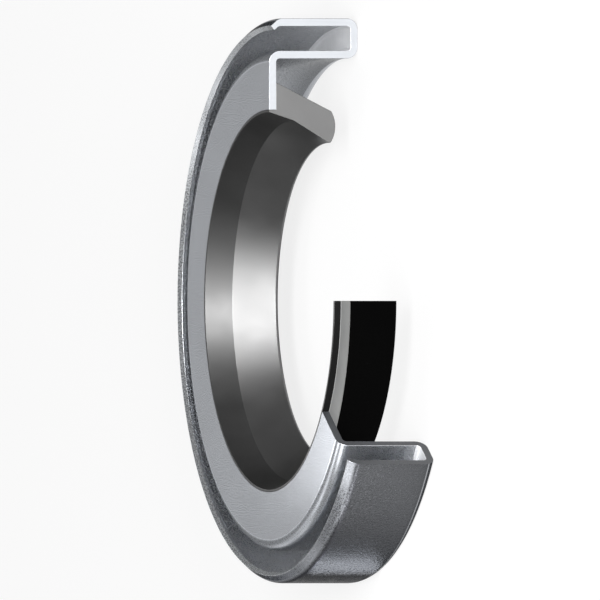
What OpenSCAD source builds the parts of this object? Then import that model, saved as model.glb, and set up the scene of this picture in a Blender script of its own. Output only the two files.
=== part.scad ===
// Metal-cased radial shaft seal with a plain rubber lip, cut away to show both sections.
// It lies on the fold at the rear of its case: the shaft axis is +Z, the rear face is
// z = 0 and the flange is on top. Twelve o'clock on the flange is +Y.

/* [Fits] */
// Diameter of the shaft that the lip runs on
shaft_d = 35; // [30:0.5:37]
// Outer diameter of the case, which is pressed into the housing
case_d = 60; // [58:0.5:72]
// Width of the seal along the shaft
width = 10; // [9:0.5:14]

/* [Case] */
// Thickness of the sheet steel
sheet = 0.8; // [0.6:0.05:1]
// Clear gap between the outer wall and the inner wall
channel = 2.65; // [2:0.05:3.2]
// Radius inside each bend of the sheet
bend = 0.4; // [0.2:0.05:0.6]
// Radial gap from the shaft to the edge of the flange
flange_gap = 2.8; // [2.4:0.1:3.2]
// Length of the front edge, bent in to lead the case into its housing
lead_in = 1.2; // [1:0.05:1.5]
// Angle of that edge to the outer wall
lead_in_angle = 41; // [15:1:45]
// Radius outside the bend at that edge
lead_bend = 1.35; // [1.1:0.05:1.5]
// How far that edge stops short of the flange's front face
set_back = 0.2; // [0:0.05:1]

/* [Lip] */
// How much smaller than the shaft the free lip is, in diameter
interference = 1.6; // [0.6:0.1:2]
// Distance from the front face to the lip's edge
lip_reach = 6.9; // [5:0.05:7.2]
// Radial thickness of the lip at its end, from its edge to its heel
lip_end = 3.45; // [2.5:0.05:3.6]
// How much further back than the edge the heel is
heel_lag = 0.15; // [0:0.05:0.3]
// How far the round end bulges past the line from edge to heel
lip_crown = 0.43; // [0.1:0.01:0.7]
// Height of the rubber that is bonded to the back of the flange
bonded = 2.9; // [2.4:0.1:3.1]
// Distance from the front face to the crease inside the lip
crease_reach = 2.8; // [2:0.05:3.5]
// Radial gap from the shaft to that crease
crease_gap = 1.65; // [1:0.05:1.9]
// Rubber over the edge of the flange, measured at the front face
skin = 0.25; // [0.1:0.05:0.3]

/* [Cutaway] */
// Angle cut out of the case, clockwise from twelve o'clock
case_cut = 125.4; // [0:0.1:180]
// Angle cut out of the lip, clockwise from twelve o'clock
lip_cut = 90; // [0:1:180]

/* [Hidden] */
$fn = 180;

shaft_r = shaft_d / 2;
bend_out = bend + sheet;

// Case: the walls of the fold, the flange and the foot of the bent-in edge
outer_r = case_d / 2;
inner_r = outer_r - sheet - channel - sheet;
flange_r = shaft_r + flange_gap;
flange_z = width - sheet;
foot_z = width - set_back - lead_in * cos(lead_in_angle);
lead_bend_z = foot_z - bend_run(lead_bend);

// Lip: the root and the crease it runs from, the edge and the heel it runs to, and the
// arc through the last two
root = [flange_r + bonded, flange_z];
crease = [shaft_r + crease_gap, width - crease_reach];
edge = [shaft_r - interference / 2, width - lip_reach];
heel = edge + [lip_end, -heel_lag];
half_chord = norm(heel - edge) / 2;
nose_r = (pow(half_chord, 2) + pow(lip_crown, 2)) / (2 * lip_crown);
nose_up = [heel_lag, lip_end] / norm(heel - edge);
nose_centre = (edge + heel) / 2 + (nose_r - lip_crown) * nose_up;

// Point that lies a given distance past b on the line from a to b
function past(a, b, distance) = b + distance * (b - a) / norm(b - a);

// How far below the foot of the front edge a bend of a given radius starts. It starts just
// late, so that the arc crosses the leaning side instead of only touching it.
function bend_run(radius) = 0.99 * radius * tan(lead_in_angle / 2);

// Turns a profile about the shaft axis and leaves out an angle clockwise from twelve
// o'clock. Profiles are drawn as [radius, height].
module revolve(cut) {
    rotate_extrude(start = 90, angle = 360 - cut) children();
}

// Straight length of sheet between two opposite corners
module straight(low, high) {
    translate(low) square(high - low);
}

// Quarter turn of sheet about a centre, filling the quadrant that starts at an angle
module quarter_bend(centre, from) {
    translate(centre) rotate(from) intersection() {
        difference() {
            circle(r = bend_out);
            circle(r = bend);
        }
        square(bend_out);
    }
}

// What lies outside a circle in the angle that the front edge is bent through
module outside(centre, radius, reach) {
    turned = [cos(lead_in_angle), sin(lead_in_angle)];
    difference() {
        polygon([centre, centre + [reach, 0], centre + reach * turned]);
        translate(centre) circle(r = radius);
    }
}

// Front edge of the outer wall: the sheet leans in round its bend and ends square to itself
module lead_in_edge() {
    foot = [outer_r, foot_z];
    outer_tip = foot + lead_in * [-sin(lead_in_angle), cos(lead_in_angle)];
    end_cut = sheet * cos(lead_in_angle);
    inner_tip = outer_tip - end_cut * [cos(lead_in_angle), sin(lead_in_angle)];
    centre_r = outer_r - lead_bend;
    inside = lead_bend - sheet;
    difference() {
        polygon([
            [outer_r, lead_bend_z],
            foot,
            outer_tip,
            inner_tip,
            foot - [sheet, 0],
            [outer_r - sheet, lead_bend_z]
        ]);
        outside([centre_r, lead_bend_z], lead_bend, 2 * lead_bend);
    }
    outside([centre_r, foot_z - bend_run(inside)], inside, inside + sheet / 2);
}

// One sheet from the flange's bore to the bent-in front edge
module case_profile() {
    straight([flange_r, flange_z], [inner_r - bend, width]);
    quarter_bend([inner_r - bend, width - bend_out], 0);
    straight([inner_r, bend_out], [inner_r + sheet, width - bend_out]);
    quarter_bend([inner_r + bend_out, bend_out], 180);
    straight([inner_r + bend_out, 0], [outer_r - bend_out, sheet]);
    quarter_bend([outer_r - bend_out, bend_out], 270);
    straight([outer_r - sheet, bend_out], [outer_r, lead_bend_z]);
    lead_in_edge();
}

// Rubber bonded behind the flange and around its bore, drawn out past the lip's end
module lip_band() {
    run_out = 4 * lip_crown;
    polygon([
        [flange_r - skin, width],
        crease,
        past(crease, edge, run_out),
        past(root, heel, run_out),
        root,
        [flange_r, flange_z],
        [flange_r, width]
    ]);
}

// The band down to a round nose: a straight region above it and a circle at its end
module lip_profile() {
    intersection() {
        lip_band();
        union() {
            straight([0, edge[1] + lip_crown / 2], [root[0], width]);
            translate(nose_centre) circle(r = nose_r);
        }
    }
}

module case() {
    color("silver") revolve(case_cut) case_profile();
}

module lip() {
    color("dimgray") revolve(lip_cut) lip_profile();
}

case();
lip();
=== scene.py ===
import bpy
import numpy as np
from mathutils import Matrix, Vector, geometry


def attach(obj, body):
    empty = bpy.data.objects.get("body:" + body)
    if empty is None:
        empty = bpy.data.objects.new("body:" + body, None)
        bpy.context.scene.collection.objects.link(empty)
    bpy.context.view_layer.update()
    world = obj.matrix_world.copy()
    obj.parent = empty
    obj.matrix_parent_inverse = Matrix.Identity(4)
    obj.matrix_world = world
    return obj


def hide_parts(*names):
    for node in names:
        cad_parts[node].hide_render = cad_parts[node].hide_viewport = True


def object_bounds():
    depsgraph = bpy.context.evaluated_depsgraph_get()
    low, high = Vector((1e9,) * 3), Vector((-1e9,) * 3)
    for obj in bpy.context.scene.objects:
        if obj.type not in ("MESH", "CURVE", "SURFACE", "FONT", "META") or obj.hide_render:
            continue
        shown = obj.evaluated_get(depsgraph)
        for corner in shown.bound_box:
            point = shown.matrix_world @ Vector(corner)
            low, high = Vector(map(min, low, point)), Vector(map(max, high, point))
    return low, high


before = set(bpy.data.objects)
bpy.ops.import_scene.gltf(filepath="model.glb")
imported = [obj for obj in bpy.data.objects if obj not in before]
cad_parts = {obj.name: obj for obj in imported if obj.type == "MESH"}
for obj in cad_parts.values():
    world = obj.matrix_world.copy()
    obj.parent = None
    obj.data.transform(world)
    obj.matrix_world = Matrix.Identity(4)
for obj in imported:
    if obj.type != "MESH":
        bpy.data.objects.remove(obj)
cadLow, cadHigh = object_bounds()
mm = 0.001
outerRadius = cadHigh.y / mm
width = cadHigh.z / mm
print("frame loaded:", round(2 * outerRadius, 2), "mm across,", round(width, 2), "mm wide")

arcPoints = 9  # points on each corner's arc
roundingRows = 5  # rows that round the edge of a cut face
surfaceMap = "surface"  # UV map in mm: around the axis, along the section
noiseMiddle = (0.3, 0.7)  # range that most of a noise's values lie in


def roundedOutline(corners):
    # Closed outline in radius and height, wound counter-clockwise. Each corner becomes an arc
    # tangent to both its sides: point = centre + radius * normal, where the normal turns
    # evenly from that of one side to that of the next. The rows of the corners start with
    # a place and the radius of its arc. Returns points and normals.
    places, radii = zip(*[row[:2] for row in corners.values()])
    places = np.asarray(places, float)
    radii = np.asarray(radii, float)
    come = places - np.roll(places, 1, axis=0)
    come /= np.linalg.norm(come, axis=1)[:, None]
    leave = np.roll(come, -1, axis=0)
    turn = np.arctan2(come[:, 0] * leave[:, 1] - come[:, 1] * leave[:, 0], (come * leave).sum(1))
    tangent = radii * np.tan(np.abs(turn) / 2)
    heading = np.arctan2(come[:, 1], come[:, 0])
    share = np.linspace(0, 1, arcPoints)
    facing = heading[:, None] - np.pi / 2 + turn[:, None] * share
    normals = np.stack([np.cos(facing), np.sin(facing)], axis=2)
    side = np.sign(turn)[:, None] * radii[:, None]
    centres = places - tangent[:, None] * come - side * normals[:, 0]
    points = centres[:, None] + side[:, None] * normals
    return points.reshape(-1, 2), normals.reshape(-1, 2)


def runAlong(points):
    # Distance of each point from the first, measured along the outline
    return np.concatenate([[0], np.cumsum(np.linalg.norm(np.diff(points, axis=0), axis=1))])


def finishNumbers(corners, materials):
    # Number of the material of the stretch that starts at each point of the outline: all
    # points of an arc have their bend's, and its last has that of the straight
    order = list(materials)
    numbers = [
        [order.index(bend)] * (arcPoints - 1) + [order.index(straight)]
        for place, radius, bend, straight in corners.values()
    ]
    return np.array(numbers).ravel()


def revolvedPiece(name, size, corners, materials, cutFinishesAndShading):
    # Carries the outline about the axis from the cut to twelve o'clock: x = radius * sin a,
    # y = radius * cos a, z = height. Near each cut face the outline shrinks along its own
    # normals by edge * (1 - cos b) at a distance of edge * (1 - sin b) from the face, for b
    # from 0 to 90 degrees, which rounds the edge. The cut faces are the outline filled with
    # triangles, and have their own materials, whose tones paint light and shade on them: that
    # of the cut's end, then that of its start.
    points, normals = roundedOutline(corners)
    around = len(points)
    between = np.linspace(size["cut"], 360, size["steps"] + 1)[1:-1]
    flat = np.zeros(len(between))
    face = np.ones(roundingRows)
    rounding = np.radians(np.linspace(0, 90, roundingRows))
    base = np.radians(np.concatenate([face * size["cut"], between, face * 360]))
    blend = np.concatenate([rounding[::-1], flat, rounding])
    toward = np.concatenate([-face, flat, face])
    inset = size["cutEdge"] * (1 - np.cos(blend))
    back = np.where(toward == 0, 0, size["cutEdge"] * (1 - np.sin(blend)))
    radius = points[None, :, 0] - inset[:, None] * normals[None, :, 0]
    height = points[None, :, 1] - inset[:, None] * normals[None, :, 1]
    angle = base[:, None] - (toward * back)[:, None] / radius
    place = np.stack([radius * np.sin(angle), radius * np.cos(angle), height], axis=2) * mm

    outward = np.stack([np.sin(angle), np.cos(angle), 0 * angle], axis=2)
    along = np.stack([np.cos(angle), -np.sin(angle), 0 * angle], axis=2)
    upward = np.array([0, 0, 1.0])
    plain = normals[None, :, :1] * outward + normals[None, :, 1:] * upward
    facing = np.cos(blend)[:, None, None] * plain + (toward * np.sin(blend))[:, None, None] * along

    rows = len(base)
    i, j = np.meshgrid(np.arange(rows - 1), np.arange(around), indexing="ij")
    k = (j + 1) % around
    quads = np.stack([i * around + j, i * around + k, (i + 1) * around + k, (i + 1) * around + j], 2)
    quads = quads.reshape(-1, 4)
    cap = np.array(geometry.tessellate_polygon([points.tolist()]))
    caps = np.concatenate([cap, cap[:, ::-1] + (rows - 1) * around])
    mesh = bpy.data.meshes.new(name)
    mesh.from_pydata(place.reshape(-1, 3), [], quads.tolist() + caps.tolist())

    for material in materials.values():
        mesh.materials.append(material)
    sides = np.tile(finishNumbers(corners, materials), rows - 1)
    ends = np.repeat([list(materials).index(finish) for finish in cutFinishesAndShading], len(cap))
    mesh.polygons.foreach_set("material_index", np.concatenate([sides, ends]).astype(np.int32))
    mesh.polygons.foreach_set("use_smooth", np.ones(len(mesh.polygons), bool))

    corner = np.empty(len(mesh.loops), np.int32)
    mesh.loops.foreach_get("vertex_index", corner)
    arc = (angle * points[:, 0].mean()).ravel()
    across = np.tile(runAlong(points), rows)
    uv = np.stack([arc[corner], across[corner]], 1).astype(np.float32)
    mesh.uv_layers.new(name=surfaceMap).data.foreach_set("uv", uv.ravel())
    mesh.normals_split_custom_set_from_vertices(facing.reshape(-1, 3))
    mesh.update()
    piece = bpy.data.objects.new(name, mesh)
    bpy.context.scene.collection.objects.link(piece)
    return piece


# Steps that the materials are made of
def feed(tree, socket, value):
    # Links another node's output, or sets a plain number or colour
    if isinstance(value, bpy.types.NodeSocket):
        tree.links.new(value, socket)
    else:
        socket.default_value = value


def noise(tree, source, scale, detail):
    texture = tree.nodes.new("ShaderNodeTexNoise")
    texture.inputs["Scale"].default_value = scale
    texture.inputs["Detail"].default_value = detail
    tree.links.new(source, texture.inputs["Vector"])
    return texture.outputs["Fac"]


def remap(tree, value, given, wanted):
    # Maps the first range to the second, and holds the ends outside it
    node = tree.nodes.new("ShaderNodeMapRange")
    node.inputs["From Min"].default_value, node.inputs["From Max"].default_value = given
    node.inputs["To Min"].default_value, node.inputs["To Max"].default_value = wanted
    tree.links.new(value, node.inputs["Value"])
    return node.outputs["Result"]


def mathNode(tree, operation, *values):
    node = tree.nodes.new("ShaderNodeMath")
    node.operation = operation
    for socket, value in zip(node.inputs, values):
        feed(tree, socket, value)
    return node.outputs[0]


def mixTones(tree, share, first, second, blend="MIX"):
    node = tree.nodes.new("ShaderNodeMix")
    node.data_type = "RGBA"
    node.blend_type = blend
    feed(tree, node.inputs["Factor"], share)
    feed(tree, node.inputs["A"], first)
    feed(tree, node.inputs["B"], second)
    return node.outputs["Result"]


def bump(tree, height, depth, below=None):
    node = tree.nodes.new("ShaderNodeBump")
    node.inputs["Strength"].default_value = 1.0
    node.inputs["Distance"].default_value = depth
    tree.links.new(height, node.inputs["Height"])
    if below is not None:
        tree.links.new(below, node.inputs["Normal"])
    return node.outputs["Normal"]


def newMaterial(name):
    material = bpy.data.materials.new(name)
    material.use_nodes = True
    tree = material.node_tree
    return material, tree, tree.nodes["Principled BSDF"]


def shade(tone, factor):
    return (*[min(1.0, channel * factor) for channel in tone], 1)


# Case: one sheet of steel, from the flange's bore round the fold to the bent-in front edge
case = {
    "cut": 125.4,  # angle cut out, from twelve o'clock
    "sheet": 0.8,
    "channel": 2.65,  # clear gap between the outer and the inner wall
    "flange": 20.3,  # radius of the flange's bore
    "bendOutside": 1.2,
    "bendInside": 0.4,
    "leadTip": (29.21, 0.2),  # outer corner of the bent-in front edge: radius, depth
    "leadAngle": 41,
    "leadTipThickness": 0.6,
    "leadBend": 1.1,
    "leadCrease": 0.6,
    "edge": 0.05,  # radius along the sheared edges
    "cutEdge": 0.03,  # radius around the cut faces, smaller than any corner's
    "steps": 236,
}


def caseCorners():
    # Corners of the section in the order of the outline. Each has its radius and height, the
    # radius of its bend, the material of that bend and that of the straight after it. The
    # case's materials differ in finish and in tones that paint light and shade.
    sheet, edge = case["sheet"], case["edge"]
    out, bend = case["bendOutside"], case["bendInside"]
    wall = outerRadius - sheet
    inner = outerRadius - 2 * sheet - case["channel"]
    lean = np.radians(case["leadAngle"])
    down = np.array([np.sin(lean), -np.cos(lean)])  # from the tip towards the wall
    tip = np.array([case["leadTip"][0], width - case["leadTip"][1]])
    tipInside = tip - case["leadTipThickness"] * np.array([np.cos(lean), np.sin(lean)])
    foot = tip + (outerRadius - tip[0]) / np.sin(lean) * down
    crease = tipInside + (wall - tipInside[0]) / np.sin(lean) * down
    return {
        "flangeFront": ((case["flange"], width), edge, "pressed", "sheared"),  # bore
        "flangeBack": ((case["flange"], width - sheet), edge, "folded", "folded"),
        "flangeInside": ((inner, width - sheet), bend, "behind", "behind"),  # inner wall's inside
        "rearInner": ((inner, 0), out, "pressed", "pressed"),  # rear face
        "rearOuter": ((outerRadius, 0), out, "rearBend", "seat"),  # outer wall
        "leadFoot": (foot, case["leadBend"], "leadBend", "leadIn"),
        "leadTip": (tip, edge, "sheared", "sheared"),  # end of the sheet
        "leadTipInside": (tipInside, edge, "sheared", "folded"),
        "leadCrease": (crease, case["leadCrease"], "folded", "inside"),  # outer wall's inside
        "floorOuter": ((wall, sheet), bend, "foldFloor", "foldFloor"),
        "floorInner": ((inner + sheet, sheet), bend, "foldFloor", "folded"),
        "flangeOutside": ((inner + sheet, width), out, "turned", "pressed"),  # flange
    }


steelFinish = {
    "clouds": 260.0,  # per metre, as the grains are
    "streaks": (5.0, 0.25, 1.0),  # per mm around the axis and along the section
    "patchDetail": 3.0,  # of clouds and streaks
    "patchTone": 0.06,  # share by which both together lighten and darken the tone
    "fineGrain": 9000.0,
    "coarseGrain": 6500.0,
    "coarseFrom": 0.15,  # strength from which the grain is the coarse one
    "grainTone": 0.2,  # change of the tone, for a grain of strength 1
    "grainGloss": 2.0,  # change of the roughness
    "grainDepth": 12e-6,  # m
    "reliefGrain": 4200.0,
    "reliefDetail": 1.0,
}


def steelMaterial(name, tone, roughness, grain, edgeTint, metallic=1.0, paintedBand=None, relief=0.0):
    # The tone varies in soft clouds and in streaks that run across the sheet, and tone and
    # roughness vary in a fine grain. The optional band paints light or shade: it is another
    # tone, the line along the section where it is reached and the distance over which it
    # fades on both sides of it. Edge tint is the brightness at grazing angles, and relief the
    # depth in metres of a wider grain.
    material, tree, shader = newMaterial(name)
    finish = steelFinish
    detail, patch = finish["patchDetail"], finish["patchTone"]
    place = tree.nodes.new("ShaderNodeTexCoord").outputs["Object"]
    surface = tree.nodes.new("ShaderNodeUVMap")
    surface.uv_map = surfaceMap
    stretched = tree.nodes.new("ShaderNodeMapping")
    stretched.inputs["Scale"].default_value = finish["streaks"]
    tree.links.new(surface.outputs["UV"], stretched.inputs["Vector"])
    cloud = noise(tree, place, finish["clouds"], detail)
    streak = noise(tree, stretched.outputs["Vector"], 1.0, detail)
    grainScale = finish["fineGrain"] if grain < finish["coarseFrom"] else finish["coarseGrain"]
    speck = noise(tree, place, grainScale, 0.0)

    def varied(value, strength):
        low, high = value * (1 - strength), value * (1 + strength)
        return remap(tree, speck, noiseMiddle, (low, high))

    halves = [remap(tree, value, noiseMiddle, (0.0, 0.5)) for value in (cloud, streak)]
    both = mathNode(tree, "ADD", *halves)
    patched = mixTones(tree, both, shade(tone, 1 - patch), shade(tone, 1 + patch))
    colour = mixTones(tree, 1.0, patched, varied(1, grain * finish["grainTone"]), "MULTIPLY")
    # the band paints light or shade in another tone along the section
    if paintedBand is not None:
        paintedTone, line, fade = paintedBand
        axes = tree.nodes.new("ShaderNodeSeparateXYZ")
        tree.links.new(surface.outputs["UV"], axes.inputs["Vector"])
        offset = mathNode(tree, "SUBTRACT", axes.outputs["Y"], line)
        near = remap(tree, mathNode(tree, "ABSOLUTE", offset), (0.0, fade), (1.0, 0.0))
        colour = mixTones(tree, near, colour, shade(paintedTone, 1))
    normal = bump(tree, speck, grain * finish["grainDepth"])
    if relief > 0:
        wide = noise(tree, place, finish["reliefGrain"], finish["reliefDetail"])
        normal = bump(tree, wide, relief, normal)
    tree.links.new(colour, shader.inputs["Base Color"])
    tree.links.new(varied(roughness, grain * finish["grainGloss"]), shader.inputs["Roughness"])
    tree.links.new(normal, shader.inputs["Normal"])
    shader.inputs["Metallic"].default_value = metallic
    shader.inputs["Specular Tint"].default_value = (edgeTint, edgeTint, edgeTint, 1)
    return material


caseSection = caseCorners()
arcs = runAlong(roundedOutline(caseSection)[0]).reshape(-1, arcPoints)
runs = dict(zip(caseSection, arcs))


def onBend(corner, share):
    # Distance along the section to a share of a corner's bend
    return runs[corner][round(share * (arcPoints - 1))]


# lighter tone painted on the bent-in lead-in as its highlight
leadLitTone = (0.490, 0.505, 0.540)
# dark tone of painted shade on the outer wall and its rear bend
seatShadeTone = (0.088, 0.0905, 0.096)
# the lead bend fades from its painted shade into the lead-in's painted highlight
leadFade = onBend("leadFoot", 1) - onBend("leadFoot", 0.5)
leadPaintedFade = (leadLitTone, onBend("leadFoot", 1), leadFade)
# a lighter band painted on the inner wall's inside, a painted highlight
behindPaintedHighlight = ((0.600, 0.620, 0.655), onBend("flangeInside", 1) + 1.0, 6.0)
# a near-white band painted on the outer wall's inside in the channel, a painted highlight
insidePaintedHighlight = ((0.950, 0.965, 0.990), onBend("leadCrease", 1) + 0.5, 7.0)
# a narrow light line painted along the rear bend, a painted highlight
rearPaintedStreak = ((0.420, 0.430, 0.450), onBend("rearOuter", 0.75), 0.12)
steelLooks = {
    # name: tone, roughness, strength of the grain, edge tint and what else it needs. All are
    # one steel sheet: the tones differ by region as lit and shaded copies, which paint light
    # and shade into them.
    "pressed": dict(tone=(0.370, 0.386, 0.416), roughness=0.29, grain=0.10, edgeTint=1.0),
    # flange's outer bend: tone painted light as a highlight
    "turned": dict(tone=(0.780, 0.810, 0.860), roughness=0.29, grain=0.06, edgeTint=0.5),
    # folded faces in the channel and fold: tone painted light against their shade
    "folded": dict(tone=(0.800, 0.815, 0.840), roughness=0.28, grain=0.08, edgeTint=0.8),
    # outer wall's inside: tone painted lighter than the channel's shade, with a painted highlight
    # band
    "inside": dict(
        tone=(0.480, 0.490, 0.510), roughness=0.28, grain=0.28, edgeTint=1.0, paintedBand=insidePaintedHighlight
    ),
    # floor of the fold: painted near white, painted light in a recess
    "foldFloor": dict(
        tone=(0.830, 0.840, 0.860), roughness=0.4, grain=0.10, edgeTint=1.0, metallic=0.5
    ),
    # inner wall's inside: darker tone of painted shade, with a painted highlight band
    "behind": dict(
        tone=(0.230, 0.240, 0.255), roughness=0.27, grain=0.45, edgeTint=0.6, paintedBand=behindPaintedHighlight
    ),
    # sheared edges: tone painted light as a highlight
    "sheared": dict(tone=(0.620, 0.640, 0.665), roughness=0.28, grain=0.15, edgeTint=1.0),
    # lead-in: lighter tone of painted highlight
    "leadIn": dict(tone=leadLitTone, roughness=0.28, grain=0.18, edgeTint=0.0),
    # lead bend: dark painted shade that fades into the lead-in's painted highlight
    "leadBend": dict(
        tone=(0.087, 0.089, 0.097), roughness=0.4, grain=0.25, edgeTint=0.3, paintedBand=leadPaintedFade
    ),
    # outer wall: steel painted dark as shade
    "seat": dict(tone=seatShadeTone, roughness=0.32, grain=0.25, edgeTint=0.3, relief=60e-6),
    # rear bend: dark painted shade, with the painted highlight line along it
    "rearBend": dict(
        tone=seatShadeTone, roughness=0.32, grain=0.25, edgeTint=0.3, paintedBand=rearPaintedStreak, relief=60e-6
    ),
    # first cut face, at twelve o'clock: tone painted light, a lit copy of the steel
    "firstCut": dict(tone=(0.575, 0.595, 0.625), roughness=0.4, grain=0.02, edgeTint=1.0),
    # second cut face: dark tone of painted shade, a shaded copy of the steel
    "secondCut": dict(
        tone=(0.042, 0.044, 0.048), roughness=0.5, grain=0.10, edgeTint=1.0, metallic=0.0
    ),
}
steels = {name: steelMaterial(name + "Steel", **look) for name, look in steelLooks.items()}
casePiece = revolvedPiece("steel_case", case, caseSection, steels, ("secondCut", "firstCut"))
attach(casePiece, "root")
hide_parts("case")
print("case made:", len(casePiece.data.polygons), "faces")

# Lip: black rubber bonded behind the flange, drawn back and inward to its sealing edge
lip = {
    "cut": 90,
    "skin": 20.05,  # radius of the rubber's front edge, inside the flange's bore
    "crease": (19.15, 2.8),  # radius, depth from the front face
    "creaseRadius": 0.3,
    "sealingEdge": (16.7, 6.9),
    "sealingEdgeRadius": 0.2,
    "heel": (20.13, 7.05),
    "heelRadius": 0.25,
    "crown": 0.43,  # bulge of the round end past the line from edge to heel
    "noseEase": 0.55,  # how much less than that end's radius is left for its arc
    "root": (23.2, 0.8),
    "edge": 0.05,
    "cutEdge": 0.03,
    "steps": 270,
}


def lipCorners():
    # As for the case. The nose is the corner whose arc goes through the edge and the heel:
    # its radius is (half^2 + crown^2) / (2 * crown), for half the distance between them.
    def at(name):
        radius, depth = lip[name]
        return np.array([radius, width - depth])

    sealing, heel = at("sealingEdge"), at("heel")
    half = np.linalg.norm(heel - sealing) / 2
    noseRadius = (half**2 + lip["crown"] ** 2) / (2 * lip["crown"])
    opening = np.arcsin(half / noseRadius)
    along = (heel - sealing) / (2 * half)
    nose = (sealing + heel) / 2 + half * np.tan(opening) * np.array([along[1], -along[0]])
    flange, edge = case["flange"], lip["edge"]
    return {
        "skin": ((lip["skin"], width), edge, "moulded", "moulded"),  # front of the lip
        "crease": (at("crease"), lip["creaseRadius"], "running", "running"),
        "sealingEdge": (sealing, lip["sealingEdgeRadius"], "running", "back"),
        "nose": (nose, noseRadius - lip["noseEase"], "back", "back"),
        "heel": (heel, lip["heelRadius"], "back", "back"),  # back of the lip
        "root": (at("root"), edge, "back", "bonded"),  # bonded to the flange
        "flangeBack": ((flange, width - case["sheet"]), edge, "bonded", "skirt"),
        "flangeFront": ((flange, width), edge, "moulded", "moulded"),
    }


rubberFinish = {
    "clouds": 300.0,  # per metre, as the specks are
    "cloudDetail": 3.0,
    "cloudTone": 0.15,  # share by which the clouds lighten and darken the tone
    "cloudGloss": 0.03,  # how much they add to the roughness and take from it
    "specks": 5000.0,
    "speckDetail": 2.0,
    "speckDepth": 1e-6,  # m
}


def rubberMaterial(name, tone, roughness, ior, level=0.5):
    # The tone is one grey, and varies with the roughness in soft clouds
    material, tree, shader = newMaterial(name)
    finish = rubberFinish
    place = tree.nodes.new("ShaderNodeTexCoord").outputs["Object"]
    cloud = noise(tree, place, finish["clouds"], finish["cloudDetail"])
    speck = noise(tree, place, finish["specks"], finish["speckDetail"])
    low, high = shade(tone, 1 - finish["cloudTone"]), shade(tone, 1 + finish["cloudTone"])
    gloss = (roughness - finish["cloudGloss"], roughness + finish["cloudGloss"])
    tree.links.new(mixTones(tree, cloud, low, high), shader.inputs["Base Color"])
    tree.links.new(remap(tree, cloud, noiseMiddle, gloss), shader.inputs["Roughness"])
    tree.links.new(bump(tree, speck, finish["speckDepth"]), shader.inputs["Normal"])
    shader.inputs["IOR"].default_value = ior
    shader.inputs["Specular IOR Level"].default_value = level
    return material


rubberLooks = {
    "moulded": dict(tone=(0.001, 0.001, 0.001), roughness=0.40, ior=1.80),
    "running": dict(tone=(0.007, 0.007, 0.007), roughness=0.35, ior=1.79, level=0.90),
    "back": dict(tone=(0.001, 0.001, 0.001), roughness=0.6, ior=1.22, level=0.03),
    "skirt": dict(tone=(0.007, 0.007, 0.007), roughness=0.6, ior=1.3, level=0.1),
    "bonded": dict(tone=(0.22, 0.222, 0.22), roughness=0.6, ior=1.5),
    # cut faces of the black rubber: painted mid grey, a lit copy that paints light on them
    "cut": dict(tone=(0.105, 0.105, 0.105), roughness=0.6, ior=1.45),
}
rubbers = {name: rubberMaterial(name + "Rubber", **look) for name, look in rubberLooks.items()}
lipPiece = revolvedPiece("rubber_lip", lip, lipCorners(), rubbers, ("cut", "cut"))
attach(lipPiece, "root")
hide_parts("lip")
print("lip made:", len(lipPiece.data.polygons), "faces")

# Camera: a parallel view from low over three o'clock, turned so that twelve o'clock is up
view = {
    "elevation": 19.9,
    "side": 600,  # pixels
    "pixel": 0.10623,
    "centre": (0, 0.09, 6.514),  # point of the seal's frame at the picture's centre
    "distance": 300,
    "clip": (0.01, 10),  # m
}
rise = np.radians(view["elevation"])
back = Vector((np.cos(rise), 0, np.sin(rise)))
up = Vector((0, 1, 0))
right = up.cross(back)
turn = Matrix((right, up, back)).transposed().to_4x4()
stand = (Vector(view["centre"]) + view["distance"] * back) * mm
cameraData = bpy.data.cameras.new("camera")
cameraData.type = "ORTHO"
cameraData.ortho_scale = view["side"] * view["pixel"] * mm
cameraData.clip_start, cameraData.clip_end = view["clip"]
camera = bpy.data.objects.new("camera", cameraData)
camera.matrix_world = Matrix.Translation(stand) @ turn
bpy.context.scene.collection.objects.link(camera)
bpy.context.scene.camera = camera

# Floor: pale paint that the camera and reflections see partly as plain white
floor = {"side": 4000, "drop": 0.02, "tone": 0.85, "whiteness": 0.8}


def floorMaterial():
    material = bpy.data.materials.new("paleFloor")
    material.use_nodes = True
    tree = material.node_tree
    tree.nodes.clear()
    paint = tree.nodes.new("ShaderNodeBsdfDiffuse")
    paint.inputs["Color"].default_value = (floor["tone"],) * 3 + (1,)
    white = tree.nodes.new("ShaderNodeEmission")
    path = tree.nodes.new("ShaderNodeLightPath")
    seen = path.outputs["Is Camera Ray"]
    for kind in ("Is Glossy Ray", "Is Transmission Ray"):
        seen = mathNode(tree, "MAXIMUM", seen, path.outputs[kind])
    mix = tree.nodes.new("ShaderNodeMixShader")
    tree.links.new(mathNode(tree, "MULTIPLY", seen, floor["whiteness"]), mix.inputs[0])
    tree.links.new(paint.outputs[0], mix.inputs[1])
    tree.links.new(white.outputs[0], mix.inputs[2])
    output = tree.nodes.new("ShaderNodeOutputMaterial")
    tree.links.new(mix.outputs[0], output.inputs["Surface"])
    return material


half = floor["side"] / 2 * mm
level = -floor["drop"] * mm
floorMesh = bpy.data.meshes.new("floor")
floorMesh.from_pydata(
    [(-half, -half, level), (half, -half, level), (half, half, level), (-half, half, level)],
    [], [(0, 1, 2, 3)],
)
floorMesh.materials.append(floorMaterial())
floorPiece = bpy.data.objects.new("floor", floorMesh)
bpy.context.scene.collection.objects.link(floorPiece)
print("camera and floor set")

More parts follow.
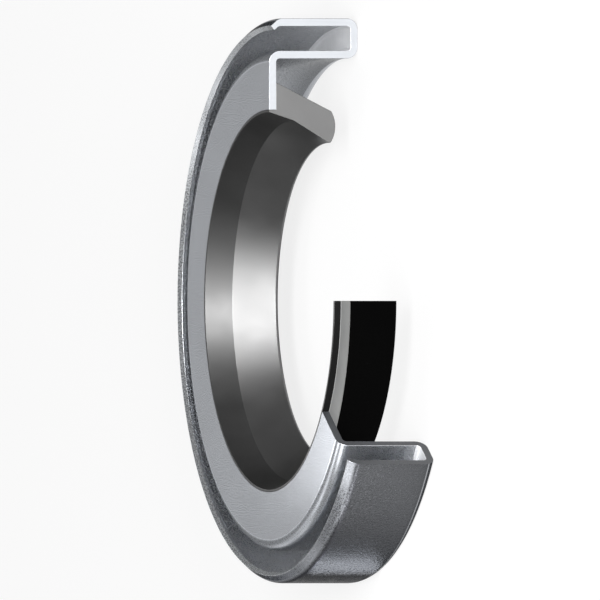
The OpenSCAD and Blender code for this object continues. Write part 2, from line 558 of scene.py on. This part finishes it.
# World and lamps
worldLevel = 0.24
world = bpy.data.worlds.new("studio")
world.use_nodes = True
bpy.context.scene.world = world
world.node_tree.nodes["Background"].inputs["Color"].default_value = (1, 1, 1, 1)
world.node_tree.nodes["Background"].inputs["Strength"].default_value = worldLevel

seal, far, soft = (0, 0, 0), 500, (115, 115)
lamps = {
    # name: azimuth from +X towards +Y, elevation, distance, aim, width and height, watts
    "key": (6, 41, far, seal, (330, 115), 1.0),
    "keyWide": (5, 41, far, seal, (720, 130), 1.8),
    "front": (8, 15, far, seal, (150, 115), 1.7),
    "frontWide": (0, 15, far, seal, (480, 115), 0.75),
    "top": (240, 60, far, seal, soft, 0.137),
    "side": (235, 40, far, seal, soft, 0.044),
    "behind": (215, 30, far, seal, soft, 0.016),
    "behindLow": (180, 20, far, seal, soft, 0.0347),
    "low": (210, 10, far, seal, soft, 0.029),
    "lowSide": (230, 19, far, seal, soft, 0.026),
    "bench": (277, 48, 26, (23, -20.5, 5), (11, 11), 0.00065),
    "near": (180, 29.4, 50, (17, -15, 10), (12, 12), 0.00167),
    "glow": (284, 85, 9, (27.5, -33, 0), (14, 20), 0.006),
    "close": (223.5, 0, 4.8, (11.2, -27.83, 3.9), (3.0, 7.8), 0.00036),
}
spreads = {"close": 120}  # lights only what it faces; the others spread to all sides
for name, (azimuth, elevation, distance, aim, size, watts) in lamps.items():
    light = bpy.data.lights.new(name, "AREA")
    light.shape = "RECTANGLE"
    light.size, light.size_y = size[0] * mm, size[1] * mm
    light.energy = watts
    light.spread = np.radians(spreads.get(name, 180))
    lamp = bpy.data.objects.new(name, light)
    lamp.visible_camera = False
    a, e = np.radians(azimuth), np.radians(elevation)
    toward = Vector((np.cos(a) * np.cos(e), np.sin(a) * np.cos(e), np.sin(e)))
    lamp.location = (Vector(aim) + toward * distance) * mm
    lamp.rotation_mode = "QUATERNION"
    lamp.rotation_quaternion = toward.to_track_quat("Z", "Y")
    bpy.context.scene.collection.objects.link(lamp)
bpy.context.scene.view_settings.view_transform = "Standard"
print("lamps set:", len(lamps))
